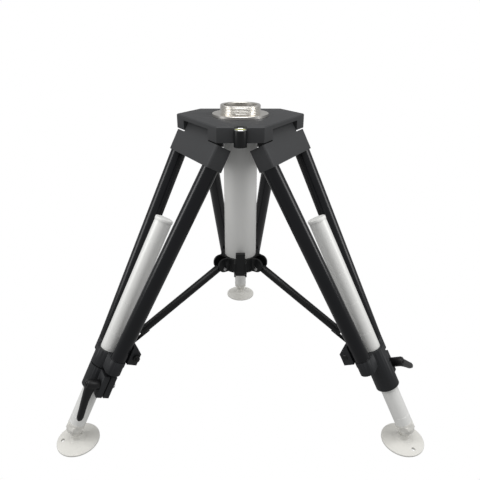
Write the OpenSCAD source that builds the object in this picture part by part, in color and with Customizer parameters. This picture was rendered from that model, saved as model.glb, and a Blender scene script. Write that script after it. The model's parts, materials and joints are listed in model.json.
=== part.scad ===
/* [Instrument ring] */
// Major diameter of the instrument thread (3.5 inch, 8 threads per inch)
thread_d = 88.9; // [80:0.1:92]
// Height of the threaded barrel above its flange
thread_h = 18; // [12:0.5:30]
// Through bore of the ring
ring_bore_d = 73; // [40:1:74]
// Diameter of the ring's flange
flange_d = 123; // [118:1:130]
// Thickness of the ring's flange
flange_h = 6; // [5:0.5:10]

/* [Head plate] */
// Distance from the axis to the three long sides that carry the legs
side_apothem = 109.4; // [106:0.1:120]
// Distance from the axis to the three short sides
corner_apothem = 138.7; // [130:0.1:150]
// Thickness of the head plate
plate_t = 31; // [30:0.5:36]
// Width of the notch that each leg hinges in
notch_w = 120; // [110:1:130]

/* [Stand] */
// Height of the flange seat above the floor
seat_h = 729.4; // [720:0.1:740]
// Angle of each spread leg from the vertical
splay = 28.5; // [27:0.5:30]
// Distance from the axis to each leg's hinge
hinge_r = 82.8; // [80:0.1:86]

/* [Legs] */
// Diameter of the fixed black tubes
outer_tube_d = 35; // [33:0.5:36]
// Diameter of the sliding tube
inner_tube_d = 39; // [36:0.5:40]
// Distance of each fixed tube from the middle of the leg at its top
tube_gap_top = 81; // [78:0.5:84]
// Distance of each fixed tube from the middle of the leg at its foot
tube_gap_low = 47; // [46:0.5:52]
// How far the sliding tube stands outside the plane of the fixed tubes
slide_offset = 7.7; // [6:0.1:9]
// Distance down the leg from the hinge to the collar's shoulder
collar_at = 538; // [530:1:545]
// Length of the sliding tube
inner_tube_len = 520; // [500:5:530]

/* [Feet] */
// Diameter of each foot pad
pad_d = 98; // [90:1:110]
// Height of the ball joint's centre above the floor
ball_h = 46; // [42:0.5:50]

/* [Column and spreader] */
// Diameter of the centre column
column_d = 76; // [70:1:78]
// Height of the hub's top above the floor
hub_top_h = 391; // [385:1:400]
// Height of the spreader hub
hub_h = 35; // [32:1:40]
// Diameter of the spreader arms
arm_d = 19; // [16:0.5:20]

/* [Hidden] */
$fn = 64;
LEGS = [["left", 210, 4], ["right", 330, 50], ["rear", 90, 8]];

// Heights, measured from the flange seat, which is the origin
floor_z = -seat_h;
plate_top = -flange_h;
plate_low = plate_top - plate_t;
hinge_drop = 21;
hinge_z = plate_top - hinge_drop;
hub_top = floor_z + hub_top_h;
hub_low = hub_top - hub_h;

// Head
plate_chamfer = 2;
half_side = (corner_apothem - side_apothem * cos(60)) / sin(60);
notch_h = 21;
notch_depth = 52;
axle_d = 12;
axle_len = notch_w + 40;
plate_bore_d = 50;
socket_depth = 6;
barrel_chamfer = 1.5;
ring_screw_n = 6;
ring_screw_r = 53.2;
ring_screw_d = 5;
ring_screw_head = 9;
ring_screw_head_h = 4.6;
column_wall = 4;
column_head_h = 14;
column_screw_n = 6;
column_screw_r = 31;
column_screw_d = 5;
column_screw_head = 8.4;
column_screw_head_h = 4.7;
level_d = 26;
level_h = 34;
level_y = -(corner_apothem + 2);
level_top = plate_top - 4;

// Leg bracket, in a leg's own frame: x out of the leg, y across it, z up along it, hinge at 0
bracket_half = tube_gap_top + outer_tube_d / 2;
bracket_top = -23.5;
bracket_corner_r = 6;
bracket_low = -71;
tongue_w = notch_w - 2;
tongue_eye_r = 9.5;
tongue_out_top = -2;
tongue_out_step = 4.2;
tube_wall = 2.5;
spigot_len = 25;
spigot_d = outer_tube_d - 2 * tube_wall;
tube_span = collar_at + bracket_low;
tube_tilt = atan((tube_gap_top - tube_gap_low) / tube_span);
tube_len = tube_span / cos(tube_tilt);

// Collar
block_h = 33;
groove = 3;
groove_d = 31;
clamp_r = 26.8;
clamp_len = 67;
block_end = collar_at + block_h;
collar_end = block_end + clamp_len;
bore_gap = 0.3;
slit_w = 3;
slit_x = 2;
ear_reach = 54;
ear_in = -13;
ear_out = 17;
ear_top = block_end + 9;
ear_end = collar_end - 4;
clamp_bolt_y = 43;
clamp_bolt_at = block_end + 36;
clamp_bolt_d = 8;

// Spreader block on the collar's inner side
block_face = -17.8;
lip_face = -17.5;
lip_half = 40;
lip_drop = 24;
block_in = -41.5;
block_half = 60;
block_top = collar_at - 41;
block_low = collar_at + 3;
block_cham = 15;
block_pin_x = -32;
block_pin_at = collar_at - 17;
block_pin_d = 8;
block_slot = 22;
block_web = 2.7;
block_web_h = 15;

// Sliding tube and foot
slide_top = 219;
slide_end = slide_top + inner_tube_len;
slide_wall = 3;
plug_h = 7;
socket_d = 40;
socket_h = 25;
ball_r = 12;
neck_d = 11;
boss_d = 27;
boss_h = 22;
pad_edge = 4;
pad_dome = 9;
anchor_r = 35;
anchor_d = 9;

// Hub and its lock
hub_r = 45;
slide_gap = 0.4;
cheek_t = 5;
cheek_gap = 20;
cheek_r = 15.5;
cheek_reach = 68;
arm_pin_r = 52;
arm_pin_z = hub_low + 8;
arm_pin_d = 8;
eye_t = 18;
eye_r = 10;
lock_w = 22;
lock_gap = 22.6;
lock_cheek = 3.7;
lock_reach = 65;
lock_y = -57;
lock_z = hub_low + 8;
lock_h = 51;
lock_t = 12;
lock_eye_r = 8;
lock_pin_d = 6;

// Spreader arm, from the hub pin to the block pin
pin_gap = 0.06;
fork_t = 10;
fork_slot = 6.2;
fork_half = 8.8;
fork_tip = 2;
fork_depth = 36;
fork_len = 56;
arm_rise = 4.2;
arm_skew = 0.6;

// Clamp lever
lever_hub_r = 11;
lever_hub_len = 31;
lever_reach = 84;
lever_tip_r = 7.5;
lever_root_r = 9.5;
lever_mid_r = 8.3;

function dir_of(leg) = LEGS[leg][1];
function lever_turn_of(leg) = LEGS[leg][2];

// Distance along a leg from its hinge to the ball joint, and that joint's distance from the axis
ball_along = (hinge_z - floor_z - ball_h + slide_offset * sin(splay)) / cos(splay);
ball_reach = hinge_r + ball_along * sin(splay) + slide_offset * cos(splay);

// The block pin's place, and the arm's length and slope that join it to the hub pin
pin_r = hinge_r + block_pin_x * cos(splay) + block_pin_at * sin(splay);
pin_z = hinge_z + block_pin_x * sin(splay) - block_pin_at * cos(splay);
arm_run = pin_r - arm_pin_r;
arm_fall = arm_pin_z - pin_z;
arm_len = sqrt(arm_run * arm_run + arm_fall * arm_fall);
arm_slope = atan(arm_fall / arm_run);

// Turns a shape in a leg's own frame into its place; the leg's own origin is its hinge
module on_leg(leg) {
    rotate([0, 0, dir_of(leg)]) translate([hinge_r, 0, hinge_z]) rotate([0, -splay, 0]) children();
}

// A straight cylinder across a leg, at x and at a distance down the leg
module across(x, down, d, length) {
    translate([x, 0, -down]) rotate([90, 0, 0]) cylinder(d = d, h = length, center = true);
}

// ---- head ----

// A long wedge that cuts the chamfer along one top edge of the plate
module edge_wedge(turn, apothem) {
    rotate([0, 0, turn]) rotate([90, 0, 0]) linear_extrude(500, center = true)
        polygon([[apothem + 3, plate_top - plate_chamfer - 3], [apothem + 3, plate_top + 3],
            [apothem - plate_chamfer - 3, plate_top + 3]]);
}

module head_plate() {
    color("dimgray") difference() {
        translate([0, 0, plate_low]) linear_extrude(plate_t) polygon([for (side = [0:5])
            let (turn = 90 + 120 * floor(side / 2), across = side % 2 == 0 ? -half_side : half_side)
                [side_apothem * cos(turn) - across * sin(turn),
                    side_apothem * sin(turn) + across * cos(turn)]]);
        for (turn = [90, 210, 330]) {
            edge_wedge(turn, side_apothem);
            edge_wedge(turn + 60, corner_apothem);
        }
        for (leg = [0:2]) rotate(dir_of(leg)) {
            translate([side_apothem - notch_depth, -notch_w / 2, plate_low - 1])
                cube([notch_depth + 50, notch_w, notch_h + 1]);
            translate([hinge_r, 0, hinge_z]) rotate([90, 0, 0])
                cylinder(d = axle_d, h = axle_len, center = true);
        }
        translate([0, 0, plate_low - 1]) cylinder(d = plate_bore_d, h = plate_t + 2);
        translate([0, 0, plate_low - 1]) cylinder(d = column_d, h = socket_depth + 1);
        translate([0, level_y, plate_low - 1]) cylinder(d = level_d, h = plate_t + 2);
        for (k = [0:ring_screw_n - 1]) rotate(k * 360 / ring_screw_n)
            translate([ring_screw_r, 0, plate_top - 14]) cylinder(d = ring_screw_d, h = 15);
        for (k = [0:column_screw_n - 1]) rotate(k * 360 / column_screw_n + 30)
            translate([column_screw_r, 0, plate_top - column_screw_head_h - 0.3]) {
                cylinder(d = column_screw_head + 0.4, h = column_screw_head_h + 1);
                translate([0, 0, -plate_t]) cylinder(d = column_screw_d, h = plate_t + 1);
            }
    }
}

module instrument_ring() {
    color("silver") difference() {
        union() {
            translate([0, 0, plate_top]) cylinder(d = flange_d, h = flange_h);
            cylinder(d = thread_d, h = thread_h - barrel_chamfer);
            translate([0, 0, thread_h - barrel_chamfer])
                cylinder(d1 = thread_d, d2 = thread_d - 2 * barrel_chamfer, h = barrel_chamfer);
        }
        translate([0, 0, plate_top - 1]) cylinder(d = ring_bore_d, h = flange_h + thread_h + 2);
        for (k = [0:ring_screw_n - 1]) rotate(k * 360 / ring_screw_n) {
            translate([ring_screw_r, 0, plate_top - 1]) cylinder(d = ring_screw_d, h = flange_h + 2);
            translate([ring_screw_r, 0, -ring_screw_head_h])
                cylinder(d = ring_screw_head, h = ring_screw_head_h + 1);
        }
    }
}

module cap_screw(d, head, head_h, length) {
    difference() {
        union() {
            translate([0, 0, -length]) cylinder(d = d, h = length);
            cylinder(d = head, h = head_h);
        }
        translate([0, 0, head_h / 2]) cylinder(d = d, h = head_h, $fn = 6);
    }
}

module ring_screws() {
    color("gainsboro") for (k = [0:ring_screw_n - 1]) rotate(k * 360 / ring_screw_n)
        translate([ring_screw_r, 0, -ring_screw_head_h])
            cap_screw(ring_screw_d, ring_screw_head - 0.4, ring_screw_head_h - 0.3, 14);
}

module centre_column() {
    top = plate_low + socket_depth;
    color("gainsboro") difference() {
        translate([0, 0, hub_low]) cylinder(d = column_d, h = top - hub_low);
        translate([0, 0, hub_low - 1])
            cylinder(d = column_d - 2 * column_wall, h = top - hub_low + 2);
    }
}

module column_head() {
    top = plate_low + socket_depth;
    color("silver") difference() {
        translate([0, 0, top - column_head_h])
            cylinder(d = column_d - 2 * column_wall, h = column_head_h);
        translate([0, 0, top - column_head_h - 1]) cylinder(d = plate_bore_d, h = column_head_h + 2);
        for (k = [0:column_screw_n - 1]) rotate(k * 360 / column_screw_n + 30)
            translate([column_screw_r, 0, top - column_head_h - 1])
                cylinder(d = column_screw_d, h = column_head_h + 2);
    }
}

module column_screws() {
    reach = plate_t - socket_depth + column_head_h - column_screw_head_h - 2.3;
    color("gainsboro") for (k = [0:column_screw_n - 1]) rotate(k * 360 / column_screw_n + 30)
        translate([column_screw_r, 0, plate_top - column_screw_head_h - 0.3])
            cap_screw(column_screw_d, column_screw_head, column_screw_head_h, reach);
}

module column_end_cap() {
    color("dimgray") {
        translate([0, 0, hub_low - 3]) cylinder(d = column_d - 1, h = 3);
        translate([0, 0, hub_low]) cylinder(d = column_d - 2 * column_wall, h = 14);
    }
}

module level_housing() {
    color("black") difference() {
        translate([0, level_y, level_top - level_h]) cylinder(d = level_d, h = level_h - 2);
        translate([0, level_y, level_top - 14]) cylinder(d = level_d - 5, h = 20);
    }
}

module level_vial() {
    color("yellowgreen") translate([0, level_y, level_top - 14])
        cylinder(d = level_d - 5, h = 12.5);
}

module level_bezel() {
    color("silver") difference() {
        translate([0, level_y, level_top - 2]) cylinder(d = level_d, h = 2);
        translate([0, level_y, level_top - 3]) cylinder(d = level_d - 5, h = 4);
    }
}

module hinge_axles() {
    color("silver") for (leg = [0:2]) rotate(dir_of(leg))
        translate([hinge_r, 0, hinge_z]) rotate([90, 0, 0])
            cylinder(d = axle_d, h = axle_len - 2, center = true);
}

// ---- legs ----

module bracket_body() {
    r = outer_tube_d / 2;
    c = bracket_corner_r;
    translate([0, 0, bracket_low]) linear_extrude(bracket_top - bracket_low) union() {
        translate([-r, -bracket_half]) square([2 * r - c, 2 * bracket_half]);
        translate([-r, c - bracket_half]) square([2 * r, 2 * bracket_half - 2 * c]);
        for (side = [-1, 1]) translate([r - c, side * (bracket_half - c)]) circle(r = c);
    }
}

module tongue() {
    r = outer_tube_d / 2;
    rotate([90, 0, 0]) linear_extrude(tongue_w, center = true) union() {
        circle(r = tongue_eye_r);
        polygon([[r, bracket_top - 1], [r, tongue_out_top], [r - 4, tongue_out_step],
            [0, tongue_eye_r], [-tongue_eye_r, 0], [-r, -16], [-r, bracket_top - 1]]);
    }
}

// Places a fixed tube's frame: the origin is its top centre, z runs up along it
module along_tube(side) {
    translate([0, side * tube_gap_top, bracket_low]) rotate([-side * tube_tilt, 0, 0]) children();
}

module leg_bracket(leg) {
    color("dimgray") on_leg(leg) difference() {
        union() {
            bracket_body();
            tongue();
            for (side = [-1, 1]) along_tube(side)
                translate([0, 0, -spigot_len]) cylinder(d = spigot_d, h = spigot_len + 8);
        }
        across(0, 0, axle_d + 2 * pin_gap, axle_len);
    }
}

module outer_tube(leg, side) {
    color("black") on_leg(leg) difference() {
        along_tube(side) translate([0, 0, -tube_len - 8]) cylinder(d = outer_tube_d, h = tube_len + 16);
        along_tube(side) translate([0, 0, -tube_len - 9]) cylinder(d = spigot_d, h = tube_len + 18);
        translate([-50, -200, bracket_low]) cube([100, 400, 40]);
        translate([-50, -200, -collar_at - 40]) cube([100, 400, 40 + groove]);
    }
}

module collar(leg) {
    r = outer_tube_d / 2;
    color("dimgray") on_leg(leg) difference() {
        union() {
            translate([0, 0, -block_end]) linear_extrude(block_h) union() {
                for (side = [-1, 1]) translate([0, side * tube_gap_low]) circle(r = r);
                translate([-r, -tube_gap_low]) square([2 * r, 2 * tube_gap_low]);
                translate([slide_offset, 0]) circle(r = clamp_r);
            }
            for (side = [-1, 1]) translate([0, side * tube_gap_low, -collar_at])
                rotate([-side * tube_tilt, 0, 0]) {
                    translate([0, 0, -8]) cylinder(d = spigot_d, h = spigot_len + 8);
                    translate([0, 0, -8]) cylinder(d = groove_d, h = groove + 8);
                }
            translate([slide_offset, 0, -collar_end]) cylinder(r = clamp_r, h = clamp_len);
            translate([ear_in, 0, -ear_end])
                cube([ear_out - ear_in, ear_reach, ear_end - ear_top]);
        }
        translate([slide_offset, 0, -collar_end - 1])
            cylinder(r = inner_tube_d / 2 + bore_gap, h = clamp_len + block_h + 40);
        translate([slit_x - slit_w / 2, 0, -collar_end - 1])
            cube([slit_w, 80, collar_end - ear_top + 3]);
        translate([-60, 0, -ear_top]) cube([120, 80, slit_w]);
        translate([-60, -fork_t / 2 - 1.5, -collar_at - lip_drop + 3])
            cube([55, fork_t + 3, lip_drop + 20]);
        translate([ear_in - 1, clamp_bolt_y, -clamp_bolt_at]) rotate([0, 90, 0])
            cylinder(d = clamp_bolt_d, h = ear_out - ear_in + 2);
    }
}

// The arm's fork swings in the slot between the two halves, which a web joins at the top
module spreader_block(leg) {
    lip_end = collar_at + lip_drop;
    web_end = block_top + block_web_h;
    color("dimgray") on_leg(leg) difference() {
        union() {
            rotate([90, 0, 0]) linear_extrude(2 * block_half, center = true)
                polygon([[block_face, -block_top], [block_in + block_cham, -block_top],
                    [block_in, -block_top - block_cham], [block_in, -block_low],
                    [block_face, -block_low]]);
            translate([lip_face - 8, -lip_half, -lip_end])
                cube([8, 2 * lip_half, lip_end - collar_at]);
        }
        translate([block_in - 1, -block_slot / 2, -lip_end - 1])
            cube([block_face - block_web - block_in + 1, block_slot, lip_end - block_top + 2]);
        translate([block_in - 1, -block_slot / 2, -lip_end - 1])
            cube([lip_face - block_in + 2, block_slot, lip_end - web_end + 1]);
        across(block_pin_x, block_pin_at, block_pin_d, 2 * block_half + 20);
    }
}

module block_bolt(leg) {
    head = 9;
    color("silver") on_leg(leg) {
        across(block_pin_x, block_pin_at, block_pin_d, 2 * block_half);
        translate([block_pin_x, block_half, -block_pin_at]) rotate([-90, 0, 0]) {
            cylinder(d = 16, h = 7, $fn = 6);
            cylinder(d = block_pin_d, h = 13);
        }
        translate([block_pin_x, -block_half, -block_pin_at]) rotate([90, 0, 0])
            cylinder(d1 = 14, d2 = head, h = 2.5);
    }
}

module inner_tube(leg) {
    color("silver") on_leg(leg) translate([slide_offset, 0, -slide_end]) difference() {
        cylinder(d = inner_tube_d, h = inner_tube_len);
        translate([0, 0, -1]) cylinder(d = inner_tube_d - 2 * slide_wall, h = inner_tube_len + 2);
    }
}

module tube_plug(leg) {
    color("gainsboro") on_leg(leg) translate([slide_offset, 0, -slide_top]) {
        cylinder(d = inner_tube_d + 1.6, h = plug_h - 1);
        translate([0, 0, plug_h - 1])
            cylinder(d1 = inner_tube_d + 1.6, d2 = inner_tube_d - 0.4, h = 1);
        translate([0, 0, -18]) cylinder(d = inner_tube_d - 2 * slide_wall, h = 18);
    }
}

module foot_socket(leg) {
    down = ball_along - slide_end;
    color("gainsboro") on_leg(leg) translate([slide_offset, 0, -slide_end]) difference() {
        union() {
            cylinder(d = inner_tube_d - 2 * slide_wall, h = 22);
            translate([0, 0, -6]) cylinder(d = socket_d, h = 6);
            translate([0, 0, -16]) cylinder(d = socket_d + 4, h = 10, $fn = 6);
            translate([0, 0, -socket_h]) cylinder(d1 = socket_d - 6, d2 = socket_d - 1, h = 9);
        }
        translate([0, 0, -down]) sphere(r = ball_r + pin_gap);
        translate([0, 0, -down - 14]) cylinder(r1 = 16.1, r2 = 7, h = 14);
    }
}

// Places a foot's frame: the origin is its ball, z is upright
module at_foot(leg) {
    rotate(dir_of(leg)) translate([ball_reach, 0, floor_z + ball_h]) children();
}

module foot_ball(leg) {
    color("silver") at_foot(leg) sphere(r = ball_r);
}

module foot_pad(leg) {
    r = pad_d / 2;
    color("gainsboro") at_foot(leg) difference() {
        translate([0, 0, -ball_h]) union() {
            rotate_extrude() polygon([[0, 0], [r, 0], [r, pad_edge - 1], [r - 1, pad_edge],
                [r - 6, pad_edge + 0.6], [boss_d / 2 + 5, pad_dome], [boss_d / 2, pad_dome + 4],
                [boss_d / 2 - 1, boss_h], [0, boss_h]]);
            cylinder(d = neck_d, h = ball_h);
        }
        sphere(r = ball_r + 0.02);
        rotate(leg == 0 ? -20 : -35) translate([anchor_r, 0, -ball_h - 1])
            cylinder(d = anchor_d, h = 20);
    }
}

module clamp_bolt(leg) {
    color("silver") on_leg(leg) translate([ear_in, clamp_bolt_y, -clamp_bolt_at])
        rotate([0, 90, 0]) {
            cylinder(d = clamp_bolt_d, h = ear_out - ear_in + 16);
            translate([0, 0, -6]) cylinder(d = 13, h = 6, $fn = 6);
        }
}

module clamp_lever(leg) {
    color("black") on_leg(leg) translate([ear_out + 0.3, clamp_bolt_y, -clamp_bolt_at])
        rotate([lever_turn_of(leg), 0, 0]) difference() {
            union() {
                rotate([0, 90, 0]) cylinder(r = lever_hub_r, h = lever_hub_len - 2);
                hull() {
                    translate([5, 0, 0]) rotate([0, 90, 0])
                        cylinder(r = lever_root_r, h = lever_hub_len - 5, $fn = 32);
                    lever_ball(17.5, 0.5 * lever_reach, lever_mid_r);
                }
                hull() {
                    lever_ball(17.5, 0.5 * lever_reach, lever_mid_r);
                    lever_ball(13.5, lever_reach, lever_tip_r);
                }
            }
            rotate([0, 90, 0]) translate([0, 0, -1]) cylinder(d = clamp_bolt_d + 2 * pin_gap, h = 17);
        }
}

module lever_ball(out, down, r) {
    translate([out, 0, -down]) sphere(r = r, $fn = 24);
}

// ---- spreader ----

module cheek(offset) {
    mid = cheek_reach - cheek_r;
    translate([0, offset, 0]) rotate([90, 0, 0]) linear_extrude(cheek_t, center = true) union() {
        translate([mid, hub_low + cheek_r]) circle(r = cheek_r);
        translate([mid, hub_top - cheek_r]) circle(r = cheek_r);
        translate([mid, hub_low + cheek_r]) square([cheek_r, hub_h - 2 * cheek_r]);
        translate([column_d / 2 + 2, hub_low]) square([mid - column_d / 2 - 2, hub_h]);
    }
}

module spreader_hub() {
    color("black") difference() {
        union() {
            translate([0, 0, hub_low]) cylinder(r = hub_r, h = hub_h);
            for (leg = [0:2]) rotate(dir_of(leg)) for (side = [-1, 1])
                cheek(side * (cheek_gap + cheek_t) / 2);
            for (side = [-1, 1])
                translate([side * (lock_gap + lock_cheek) / 2 - lock_cheek / 2, -lock_reach, hub_low])
                    cube([lock_cheek, lock_reach - column_d / 2 - 2, hub_h]);
        }
        for (leg = [0:2]) rotate(dir_of(leg)) {
            translate([column_d / 2 + 3, -cheek_gap / 2, hub_low - 20])
                cube([60, cheek_gap, hub_h + 40]);
            translate([arm_pin_r, 0, arm_pin_z]) rotate([90, 0, 0])
                cylinder(d = arm_pin_d, h = 80, center = true);
        }
        translate([0, lock_y, lock_z]) rotate([0, 90, 0])
            cylinder(d = lock_pin_d, h = 60, center = true);
        translate([0, 0, hub_low - 1]) cylinder(r = column_d / 2 + slide_gap, h = hub_h + 2);
    }
}

module arm_pins() {
    color("silver") for (leg = [0:2]) rotate(dir_of(leg))
        translate([arm_pin_r, 0, arm_pin_z]) rotate([90, 0, 0])
            cylinder(d = arm_pin_d, h = cheek_gap + 2 * cheek_t + 2, center = true);
}

module hub_lock_pin() {
    color("silver") translate([0, lock_y, lock_z]) rotate([0, 90, 0])
        cylinder(d = lock_pin_d, h = lock_gap + 2 * lock_cheek + 1, center = true);
}

module hub_lock_lever() {
    color("black") difference() {
        translate([0, lock_y, lock_z]) rotate([90, 0, 90])
            linear_extrude(lock_w, center = true) union() {
                circle(r = lock_eye_r);
                translate([-lock_t / 2, 0]) square([lock_t, lock_h]);
            }
        translate([0, lock_y, lock_z]) rotate([0, 90, 0])
            cylinder(d = lock_pin_d + 2 * pin_gap, h = 60, center = true);
    }
}

module spreader_arm(leg) {
    tube_from = 9;
    tube_to = arm_len - fork_len + 10;
    color("black") rotate(dir_of(leg)) translate([arm_pin_r, 0, arm_pin_z])
        rotate([0, arm_slope, 0]) difference() {
            union() {
                rotate([90, 0, 0]) cylinder(r = eye_r, h = eye_t, center = true);
                translate([tube_from, 0, arm_rise]) rotate([0, 90 + arm_skew, 0])
                    cylinder(d = arm_d, h = tube_to - tube_from);
                translate([arm_len - fork_len, -fork_t / 2, -fork_half])
                    cube([fork_len + fork_tip, fork_t, 2 * fork_half]);
            }
            rotate([90, 0, 0]) cylinder(d = arm_pin_d + 2 * pin_gap, h = 60, center = true);
            translate([arm_len - fork_depth, -arm_d, -fork_slot])
                cube([fork_depth + 20, 2 * arm_d, 2 * fork_slot]);
        }
}

head_plate();
instrument_ring();
ring_screws();
centre_column();
column_head();
column_screws();
column_end_cap();
level_housing();
level_vial();
level_bezel();
hinge_axles();
spreader_hub();
arm_pins();
hub_lock_pin();
hub_lock_lever();
leg_bracket(0);  // left_leg_bracket
outer_tube(0, 1);  // left_outer_tube_front
outer_tube(0, -1);  // left_outer_tube_back
collar(0);  // left_collar
spreader_block(0);  // left_spreader_block
block_bolt(0);  // left_block_bolt
inner_tube(0);  // left_inner_tube
tube_plug(0);  // left_tube_plug
foot_socket(0);  // left_foot_socket
foot_ball(0);  // left_foot_ball
foot_pad(0);  // left_foot_pad
clamp_bolt(0);  // left_clamp_bolt
clamp_lever(0);  // left_clamp_lever
spreader_arm(0);  // left_spreader_arm
leg_bracket(1);  // right_leg_bracket
outer_tube(1, -1);  // right_outer_tube_front
outer_tube(1, 1);  // right_outer_tube_back
collar(1);  // right_collar
spreader_block(1);  // right_spreader_block
block_bolt(1);  // right_block_bolt
inner_tube(1);  // right_inner_tube
tube_plug(1);  // right_tube_plug
foot_socket(1);  // right_foot_socket
foot_ball(1);  // right_foot_ball
foot_pad(1);  // right_foot_pad
clamp_bolt(1);  // right_clamp_bolt
clamp_lever(1);  // right_clamp_lever
spreader_arm(1);  // right_spreader_arm
leg_bracket(2);  // rear_leg_bracket
outer_tube(2, 1);  // rear_outer_tube_left
outer_tube(2, -1);  // rear_outer_tube_right
collar(2);  // rear_collar
spreader_block(2);  // rear_spreader_block
block_bolt(2);  // rear_block_bolt
inner_tube(2);  // rear_inner_tube
tube_plug(2);  // rear_tube_plug
foot_socket(2);  // rear_foot_socket
foot_ball(2);  // rear_foot_ball
foot_pad(2);  // rear_foot_pad
clamp_bolt(2);  // rear_clamp_bolt
clamp_lever(2);  // rear_clamp_lever
spreader_arm(2);  // rear_spreader_arm
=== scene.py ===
"""A short, heavy instrument tripod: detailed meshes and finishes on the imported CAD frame."""
import json
import math

import bmesh
import bpy
from mathutils import Matrix, Vector


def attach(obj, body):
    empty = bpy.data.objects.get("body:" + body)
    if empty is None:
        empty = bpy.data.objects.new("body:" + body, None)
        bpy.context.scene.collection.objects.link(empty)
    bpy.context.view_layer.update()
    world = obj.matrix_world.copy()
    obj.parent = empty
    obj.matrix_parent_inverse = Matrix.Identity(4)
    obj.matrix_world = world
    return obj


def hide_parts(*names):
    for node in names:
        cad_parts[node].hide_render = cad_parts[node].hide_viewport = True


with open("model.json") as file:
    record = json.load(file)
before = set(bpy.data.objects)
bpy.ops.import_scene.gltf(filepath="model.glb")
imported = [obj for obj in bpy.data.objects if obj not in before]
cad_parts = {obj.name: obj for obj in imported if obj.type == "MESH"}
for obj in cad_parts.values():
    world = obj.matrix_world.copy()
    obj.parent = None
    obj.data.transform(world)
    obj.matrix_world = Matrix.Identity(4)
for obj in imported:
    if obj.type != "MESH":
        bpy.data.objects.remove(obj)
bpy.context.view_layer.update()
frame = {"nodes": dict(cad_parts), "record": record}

MM = 0.001
FLOOR_Z = -729.4
SPLAY = math.radians(28.5)
HINGE_R = 82.8
HINGE_Z = -27.0
COLLAR_AT = 538.0
TUBE_TOP = -71.0
TUBE_SPREAD_TOP = 81.0
TUBE_SPREAD_LOW = 47.0
TUBE_R = 17.5
TUBE_BORE_R = 15.0
SLIDE_X = 7.7
LEVER_AT = (17.3, 43, -607)
LEVEL_Y = -140.7
BALL_REACH = 447.95
BALL_H = 46
BALL_R = 12
MARK_PITCH = 75
LOWEST_MARK = 718
TUBE_START = 219
LEGS = {"left": (210, 4), "right": (330, 50), "rear": (90, 8)}
TUBES = {
    "left": (("left_outer_tube_front", 1), ("left_outer_tube_back", -1)),
    "right": (("right_outer_tube_front", -1), ("right_outer_tube_back", 1)),
    "rear": (("rear_outer_tube_left", 1), ("rear_outer_tube_right", -1)),
}
body_of_node = {n: b for b, ns in frame["record"]["behaviour"]["bodies"].items() for n in ns}
slot_of_node = {s["node"]: s["material_slot"] for s in frame["record"]["subparts"]}


def row(x=0.0, y=0.0, z=0.0):
    """A move in millimetres, in the row frame."""
    return Matrix.Translation((x, y, z))


def turn(degrees, axis):
    return Matrix.Rotation(math.radians(degrees), 4, axis)


def leg_matrix(leg):
    """From a leg's own frame, origin at its hinge and -Z down the leg, to the row frame."""
    spread = turn(LEGS[leg][0], "Z") @ row(HINGE_R, 0, HINGE_Z)
    return spread @ Matrix.Rotation(-SPLAY, 4, "Y")


# ---- finishes ----


def finish_of(name, colour, rough, metallic=0.0, specular=0.5, grain=0.0, grain_size=900.0,
              stretch=(1, 1, 1), vary=0.0):
    """A surface with optional fine grain in its relief and its roughness."""
    material = bpy.data.materials.new(name)
    material.use_nodes = True
    tree = material.node_tree
    shader = tree.nodes["Principled BSDF"]
    shader.inputs["Base Color"].default_value = (*colour, 1)
    shader.inputs["Roughness"].default_value = rough
    shader.inputs["Metallic"].default_value = metallic
    shader.inputs["Specular IOR Level"].default_value = specular
    if grain or vary:
        coords = tree.nodes.new("ShaderNodeTexCoord")
        scale = tree.nodes.new("ShaderNodeMapping")
        scale.inputs["Scale"].default_value = stretch
        noise = tree.nodes.new("ShaderNodeTexNoise")
        noise.inputs["Scale"].default_value = grain_size
        noise.inputs["Detail"].default_value = 3.0
        tree.links.new(coords.outputs["Object"], scale.inputs["Vector"])
        tree.links.new(scale.outputs["Vector"], noise.inputs["Vector"])
    if grain:
        bump = tree.nodes.new("ShaderNodeBump")
        bump.inputs["Strength"].default_value = grain
        bump.inputs["Distance"].default_value = 0.0003
        tree.links.new(noise.outputs["Fac"], bump.inputs["Height"])
        tree.links.new(bump.outputs["Normal"], shader.inputs["Normal"])
    if vary:
        band = tree.nodes.new("ShaderNodeMapRange")
        band.inputs["To Min"].default_value = rough - vary
        band.inputs["To Max"].default_value = rough + vary
        tree.links.new(noise.outputs["Fac"], band.inputs["Value"])
        tree.links.new(band.outputs["Result"], shader.inputs["Roughness"])
    return material


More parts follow.
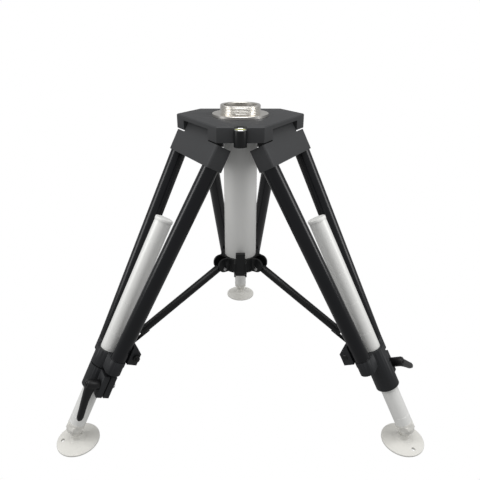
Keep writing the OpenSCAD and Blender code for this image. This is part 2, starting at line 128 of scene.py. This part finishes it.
FINISH = {
    "plate_dark": finish_of("plate_dark", (0.042, 0.043, 0.045), 0.55, 0.0, 0.3, grain=0.25),
    "collar_dark": finish_of("collar_dark", (0.017, 0.018, 0.02), 0.5, 0.0, 0.3, grain=0.25),
    "ring_steel": finish_of("ring_steel", (0.84, 0.82, 0.78), 0.3, 1.0, vary=0.05,
                            grain_size=60, stretch=(1, 1, 12)),
    "steel": finish_of("steel", (0.55, 0.55, 0.55), 0.3, 1.0),
    "chrome": finish_of("chrome", (0.8, 0.8, 0.8), 0.08, 1.0),
    "aluminium_plain": finish_of("aluminium_plain", (0.6, 0.6, 0.61), 0.4, 1.0),
    "column_grey": finish_of("column_grey", (0.84, 0.84, 0.82), 0.5, 0.0, grain=0.15),
    "tube_black": finish_of("tube_black", (0.005, 0.0055, 0.007), 0.24, 0.0, 0.35),
    "tube_silver": finish_of("tube_silver", (0.84, 0.84, 0.82), 0.42, 0.12, vary=0.05,
                             grain=0.1, grain_size=220),
    "plug_pale": finish_of("plug_pale", (0.8, 0.8, 0.78), 0.5),
    "plastic_black": finish_of("plastic_black", (0.008, 0.008, 0.008), 0.5, 0.0, 0.3),
    "black_satin": finish_of("black_satin", (0.006, 0.0065, 0.007), 0.36, 0.0, 0.35),
    "lever_black": finish_of("lever_black", (0.006, 0.006, 0.0065), 0.42, 0.0, 0.35, grain=0.4),
    "foot_paint": finish_of("foot_paint", (0.72, 0.71, 0.67), 0.42, 0.0, grain=0.1),
    "vial": finish_of("vial", (0.6, 0.62, 0.25), 0.08, 0.0, 0.5),
}

# ---- building ----


def place(bm, name, node, matrix=None, soft_below=35, slot=None):
    """Turns a millimetre bmesh into a piece that stands for a CAD node."""
    if matrix is not None:
        bm.transform(matrix)
    bm.transform(Matrix.Scale(MM, 4))
    bmesh.ops.remove_doubles(bm, verts=bm.verts, dist=1e-7)
    bmesh.ops.recalc_face_normals(bm, faces=bm.faces)
    mesh = bpy.data.meshes.new(name)
    bm.to_mesh(mesh)
    bm.free()
    for face in mesh.polygons:
        face.use_smooth = True
    mesh.set_sharp_from_angle(angle=math.radians(soft_below))
    slot = slot or slot_of_node[node]
    mesh.materials.append(FINISH[slot])
    piece = bpy.data.objects.new(name, mesh)
    bpy.context.scene.collection.objects.link(piece)
    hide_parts(node)
    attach(piece, body_of_node[node])
    return piece


def bevelled(node, width, segments=2, corner=28, slot=None):
    """The CAD node's own shape with its sharp edges rounded."""
    bm = bmesh.new()
    bm.from_mesh(frame["nodes"][node].data)
    bm.transform(frame["nodes"][node].matrix_world)
    bm.transform(Matrix.Scale(1 / MM, 4))
    bmesh.ops.remove_doubles(bm, verts=bm.verts, dist=1e-3)
    bmesh.ops.dissolve_limit(bm, angle_limit=math.radians(0.6), verts=bm.verts, edges=bm.edges)
    sharp = [e for e in bm.edges if len(e.link_faces) == 2
             and e.calc_face_angle(0) > math.radians(corner)]
    bmesh.ops.bevel(bm, geom=sharp, offset=width, segments=segments, profile=0.6,
                    affect="EDGES", clamp_overlap=True)
    return place(bm, node + "_body", node, soft_below=40, slot=slot)


def lathe(bm, profile, matrix=None, steps=96, closed=True):
    """Turns a profile of (radius, height) points about Z; a closed profile makes a ring."""
    rings = []
    for radius, height in profile:
        if radius < 1e-6:
            rings.append([bm.verts.new((0, 0, height))])
            continue
        rings.append([bm.verts.new((radius * math.cos(k * math.tau / steps),
                                    radius * math.sin(k * math.tau / steps), height))
                      for k in range(steps)])
    pairs = list(zip(rings, rings[1:]))
    if closed and profile[0][0] > 1e-6 and profile[-1][0] > 1e-6:
        pairs.append((rings[-1], rings[0]))
    made = [v for r in rings for v in r]
    for low, high in pairs:
        for k in range(steps):
            n = (k + 1) % steps
            corners = [low[k % len(low)], low[n % len(low)],
                       high[n % len(high)], high[k % len(high)]]
            unique = list(dict.fromkeys(corners))
            if len(unique) > 2:
                bm.faces.new(unique)
    if matrix is not None:
        bmesh.ops.transform(bm, matrix=matrix, verts=made)
    return made


def turned(name, node, profile, matrix=None, steps=96, **more):
    bm = bmesh.new()
    lathe(bm, profile, steps=steps)
    return place(bm, name, node, matrix, **more)


# ---- camera and light ----

camera_data = bpy.data.cameras.new("camera")
camera_data.lens = 33.41
camera_data.sensor_width = 36.0
camera_data.shift_x = -0.00083
camera_data.clip_start = 0.01
camera = bpy.data.objects.new("camera", camera_data)
camera.location = (0, -1.0003, 0.1470)
camera.rotation_euler = (math.radians(90 - 24.31), 0, 0)
bpy.context.scene.collection.objects.link(camera)
bpy.context.scene.camera = camera
bpy.context.scene.view_settings.view_transform = "Standard"

world = bpy.data.worlds.new("studio")
bpy.context.scene.world = world
world.use_nodes = True
sky = world.node_tree
sky.nodes.clear()
ray = sky.nodes.new("ShaderNodeLightPath")
seen = sky.nodes.new("ShaderNodeBackground")
seen.inputs["Color"].default_value = (1, 1, 1, 1)
seen.inputs["Strength"].default_value = 1.0
lit = sky.nodes.new("ShaderNodeBackground")
lit.inputs["Color"].default_value = (1, 1, 1, 1)
lit.inputs["Strength"].default_value = 0.36
blend = sky.nodes.new("ShaderNodeMixShader")
out = sky.nodes.new("ShaderNodeOutputWorld")
sky.links.new(ray.outputs["Is Camera Ray"], blend.inputs["Fac"])
sky.links.new(lit.outputs["Background"], blend.inputs[1])
sky.links.new(seen.outputs["Background"], blend.inputs[2])
sky.links.new(blend.outputs["Shader"], out.inputs["Surface"])


def soft_box(name, where, aim, size, power):
    light = bpy.data.lights.new(name, "AREA")
    light.shape = "RECTANGLE"
    light.size, light.size_y = size
    light.energy = power
    lamp = bpy.data.objects.new(name, light)
    lamp.location = where
    lamp.rotation_euler = (Vector(aim) - Vector(where)).to_track_quat("-Z", "Y").to_euler()
    bpy.context.scene.collection.objects.link(lamp)


soft_box("top_light", (0.0, -0.5, 1.9), (0, 0, -0.3), (1.8, 1.8), 36)
soft_box("left_light", (-2.2, -0.55, 0.75), (0, 0, -0.35), (0.9, 1.6), 20)
soft_box("right_light", (2.2, -0.45, 0.75), (0, 0, -0.35), (0.9, 1.6), 20)

# ---- pieces with a form of their own ----


def loft(bm, sections, matrix, steps=28, power=2.6):
    """Rounded cross-sections, each (z, x, half width in x, half width in y), joined and closed."""
    rings = []
    for z, x, half_x, half_y in sections:
        ring = []
        for k in range(steps):
            a = k * math.tau / steps
            c, s = math.cos(a), math.sin(a)
            ring.append(bm.verts.new((
                x + half_x * math.copysign(abs(c) ** (2 / power), c),
                half_y * math.copysign(abs(s) ** (2 / power), s), z)))
        rings.append(ring)
    for low, high in zip(rings, rings[1:]):
        for k in range(steps):
            n = (k + 1) % steps
            bm.faces.new((low[k], low[n], high[n], high[k]))
    bm.faces.new(rings[0])
    bm.faces.new(rings[-1])
    bmesh.ops.transform(bm, matrix=matrix, verts=[v for r in rings for v in r])


def threaded_ring():
    """The flange and barrel, with a thread of 3.175 mm pitch that runs out at both ends."""
    major, pitch, depth, steps, per_turn = 44.45, 3.175, 1.9, 120, 8
    low, high, chamfer = 1.5, 18.0, 1.5
    bm = bmesh.new()
    lathe(bm, [(36.5, -6.0), (61.0, -6.0), (61.5, -5.5), (61.5, -0.7), (60.8, 0.0), (43.2, 0.0),
               (42.5, 0.4), (42.5, 2.0), (42.0, 2.0), (42.0, 17.4), (41.6, 18.0), (37.4, 18.0),
               (36.5, 17.2)], steps=120)
    rows = []
    count = int((high - low) / pitch + 2) * per_turn
    for j in range(count + 1):
        ring = []
        for k in range(steps + 1):
            z = low + pitch * (j / per_turn - 1 + k / steps)
            phase = (j / per_turn) % 1.0
            radius = major - depth * min(1.0, max(0.0, abs(2 * phase - 1) * 1.25 - 0.125))
            z = min(max(z, low), high)
            radius = min(radius, major - max(0.0, z - high + chamfer) * 1.2)
            radius -= max(0.0, 0.8 - (z - low)) * 1.5
            a = k * math.tau / steps
            ring.append(bm.verts.new((radius * math.cos(a), radius * math.sin(a), z)))
        rows.append(ring)
    for low_row, high_row in zip(rows, rows[1:]):
        for k in range(steps):
            quad = (low_row[k], low_row[k + 1], high_row[k + 1], high_row[k])
            if quad[3].co.z - quad[0].co.z > 1e-6 or quad[2].co.z - quad[1].co.z > 1e-6:
                bm.faces.new(quad)
    for r_in, r_out, z in ((42.0, 42.7, 18.0), (42.0, 43.3, 1.5)):
        lathe(bm, [(r_in, z), (r_out, z)], steps=120, closed=False)
    loose = [v for v in bm.verts if not v.link_faces]
    bmesh.ops.delete(bm, geom=loose, context="VERTS")
    place(bm, "instrument_ring_body", "instrument_ring", soft_below=30)


def outer_tube(leg, node, side):
    """A fixed tube, cut square to the leg at both ends, with its wall seen there."""
    low = 3 - COLLAR_AT
    start = Vector((0, side * TUBE_SPREAD_TOP, TUBE_TOP))
    end = Vector((0, side * TUBE_SPREAD_LOW, -COLLAR_AT))
    along = (end - start).normalized()
    across = Vector((1, 0, 0))
    other = along.cross(across)
    bm = bmesh.new()
    steps = 72
    loops = []
    for radius, plane in ((TUBE_R, TUBE_TOP), (TUBE_R, low), (TUBE_BORE_R, low),
                          (TUBE_BORE_R, TUBE_TOP)):
        ring = []
        for k in range(steps):
            a = k * math.tau / steps
            point = start + across * radius * math.cos(a) + other * radius * math.sin(a)
            ring.append(bm.verts.new(point + along * ((plane - point.z) / along.z)))
        loops.append(ring)
    for first, second in zip(loops, loops[1:] + loops[:1]):
        for k in range(steps):
            n = (k + 1) % steps
            bm.faces.new((first[k], first[n], second[n], second[k]))
    place(bm, node + "_body", node, leg_matrix(leg))


def clamp_lever(leg):
    """A moulded lever whose root flows out of its hub, with a screw in the hub's end."""
    node = leg + "_clamp_lever"
    matrix = leg_matrix(leg) @ row(*LEVER_AT) @ turn(LEGS[leg][1], "X")
    hub = turn(90, "Y")
    bm = bmesh.new()
    lathe(bm, [(4.1, 0), (10, 0), (11, 1), (11, 25.5), (9.8, 28.6), (8.6, 29), (0, 29)],
          hub, steps=48, closed=False)
    lathe(bm, [(0, 28.5), (5.2, 28.5), (5.2, 30.4), (4.7, 30.9), (2.6, 30.9), (2.6, 29.4),
               (0, 29.4)],
          hub, steps=36, closed=False)
    loft(bm, [(9.4, 18.5, 8, 2.5), (7.5, 18.2, 10.6, 6), (3, 18, 12, 8.6), (-3, 17.8, 12.3, 9.2),
              (-12, 18, 11.1, 9.1), (-25, 18, 9.5, 8.7), (-42, 17.3, 8.2, 8.1),
              (-62, 15.3, 7.5, 7.6),
              (-80, 13.7, 7.4, 7.3), (-87, 13.5, 6, 6), (-90.5, 13.5, 3.3, 3.3),
              (-91.3, 13.5, 0.8, 0.8)],
         Matrix.Identity(4))
    place(bm, node + "_body", node, matrix, soft_below=50)


def sliding_tube(leg):
    """The sliding tube with its engraved rings, and its end plug."""
    axis = leg_matrix(leg) @ row(SLIDE_X, 0, 0)
    wall = [(19.5, -738.6)]
    for down in range(LOWEST_MARK, TUBE_START, -MARK_PITCH):
        wall += [(19.5, -down - 0.6), (19.15, -down - 0.3),
                 (19.15, -down + 0.3), (19.5, -down + 0.6)]
    turned(leg + "_inner_tube_body", leg + "_inner_tube",
           [(16.5, -738.5), (17, -739), (19.1, -739), *wall, (19.5, -219.3), (19.2, -219),
            (17, -219), (16.5, -219.5)], axis, soft_below=20)
    bm = bmesh.new()
    lathe(bm, [(0, -237), (16.5, -237), (16.5, -219), (20.2, -219), (20.3, -218.6), (20.3, -213.4),
               (19.8, -212.4), (18.8, -212), (0, -212)], steps=96, closed=False)
    place(bm, leg + "_tube_plug_body", leg + "_tube_plug", axis)


def level():
    """The bubble level: a tinted vial under a low dome, with the bubble's sight ring."""
    centre = row(0, LEVEL_Y, 0)
    bm = bmesh.new()
    lathe(bm, [(0, -24), (10.5, -24), (10.5, -12.2), (9.4, -11.3), (6, -10.7), (0, -10.4)],
          closed=False, steps=48)
    place(bm, "level_vial_body", "level_vial", centre)
    bm = bmesh.new()
    lathe(bm, [(4.3, -10.7), (4.9, -10.7), (4.9, -10.35), (4.3, -10.35)], centre, steps=48)
    lathe(bm, [(10.5, -12), (12.4, -12), (13, -11.4), (13, -10.5), (12.5, -10), (11.2, -10),
               (10.5, -10.6)], centre, steps=64)
    place(bm, "level_bezel_body", "level_bezel", slot="chrome")


BEVELS = {"head_plate": 0.7, "spreader_hub": 0.8, "hub_lock_lever": 1.2, "level_housing": 0.8,
          "column_end_cap": 0.6, "ring_screws": 0.35, "column_screws": 0.35, "hub_lock_pin": 0.5,
          "arm_pins": 0.6}
LEG_BEVELS = {"leg_bracket": 1.0, "collar": 1.4, "spreader_block": 1.0, "block_bolt": 0.6,
              "clamp_bolt": 0.6, "foot_socket": 0.6, "foot_pad": 0.7, "spreader_arm": 0.7}

for node, width in BEVELS.items():
    bevelled(node, width)
threaded_ring()
level()
turned("centre_column_body", "centre_column",
       [(34, -373.4), (37.6, -373.4), (38, -373), (38, -31), (34, -31)])
for leg in LEGS:
    for part, width in LEG_BEVELS.items():
        bevelled(leg + "_" + part, width, slot="black_satin" if part == "block_bolt" else None)
    for node, side in TUBES[leg]:
        outer_tube(leg, node, side)
    sliding_tube(leg)
    clamp_lever(leg)
    turned(leg + "_foot_ball_body", leg + "_foot_ball", [
        (BALL_R * math.sin(math.pi * k / 32), -BALL_R * math.cos(math.pi * k / 32))
        for k in range(33)],
        turn(LEGS[leg][0], "Z") @ row(BALL_REACH, 0, FLOOR_Z + BALL_H), steps=48, slot="chrome")

for name, node in frame["nodes"].items():
    node.data.materials.clear()
    node.data.materials.append(FINISH[slot_of_node[name]])
